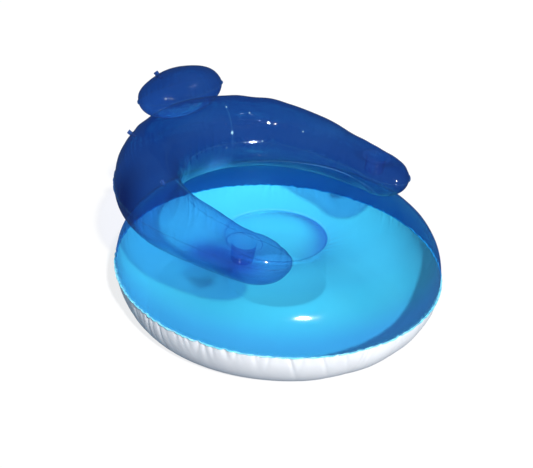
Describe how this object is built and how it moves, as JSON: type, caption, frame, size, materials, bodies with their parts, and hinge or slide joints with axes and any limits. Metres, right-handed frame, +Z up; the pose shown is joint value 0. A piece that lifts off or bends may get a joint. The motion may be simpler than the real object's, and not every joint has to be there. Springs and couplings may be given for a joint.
{
  "type": "inflatable pool chair",
  "caption": "Round floating lounge chair: two-sheet air base, C-shaped back and arm tube with cup holders, pillow and air valves.",
  "frame": {"origin": "on the floor under the middle of the round base", "axes": "+Z up, the sitter faces -Y, +X towards the sitter's left arm"},
  "size_m": [1.138, 1.138, 0.7392],
  "materials": {
    "blue_film": "clear cyan-blue glossy vinyl film",
    "deep_blue_film": "clear blue glossy vinyl film, dark where it lies in many layers",
    "white_film": "opaque white satin vinyl film",
    "clear_vinyl": "soft clear moulded vinyl"
  },
  "bodies": {
    "chair": {"base_top_sheet": "blue_film", "base_bottom_sheet": "white_film", "base_baffle": "clear_vinyl", "backrest_upper_panel": "deep_blue_film", "backrest_lower_panel": "deep_blue_film", "left_cup_holder": "deep_blue_film", "right_cup_holder": "deep_blue_film", "pillow_upper_panel": "deep_blue_film", "pillow_lower_panel": "deep_blue_film", "base_valve_body": "clear_vinyl", "backrest_valve_body": "clear_vinyl", "pillow_valve_body": "clear_vinyl"},
    "base_plug": {"base_valve_plug": "clear_vinyl"},
    "base_flap": {"base_valve_flap": "clear_vinyl"},
    "backrest_plug": {"backrest_valve_plug": "clear_vinyl"},
    "backrest_flap": {"backrest_valve_flap": "clear_vinyl"},
    "pillow_plug": {"pillow_valve_plug": "clear_vinyl"},
    "pillow_flap": {"pillow_valve_flap": "clear_vinyl"}
  },
  "joints": [
    {"name": "base_plug_pull", "type": "slide", "parent": "chair", "child": "base_plug", "axis": [-0.0446, 0.5669, 0.8226], "range_m": [0, 0.01]},
    {"name": "base_flap_hinge", "type": "hinge", "parent": "chair", "child": "base_flap", "pos_m": [-0.03131, 0.48963, 0.29206], "axis": [0.0645, -0.8201, 0.5686], "range_deg": [0, 60], "stiffness_Nm_per_rad": 0.0005},
    {"name": "backrest_plug_pull", "type": "slide", "parent": "chair", "child": "backrest_plug", "axis": [-0.3409, 0.7557, 0.5591], "range_m": [0, 0.01]},
    {"name": "backrest_flap_hinge", "type": "hinge", "parent": "chair", "child": "backrest_flap", "pos_m": [-0.18088, 0.49138, 0.53948], "axis": [0.2299, -0.5097, 0.8291], "range_deg": [0, 60], "stiffness_Nm_per_rad": 0.0005},
    {"name": "pillow_plug_pull", "type": "slide", "parent": "chair", "child": "pillow_plug", "axis": [-0.0267, 0.773, 0.6338], "range_m": [0, 0.01]},
    {"name": "pillow_flap_hinge", "type": "hinge", "parent": "chair", "child": "pillow_flap", "pos_m": [-0.00776, 0.5209, 0.69029], "axis": [0.0219, -0.6335, 0.7735], "range_deg": [0, 60], "stiffness_Nm_per_rad": 0.0005}
  ]
}
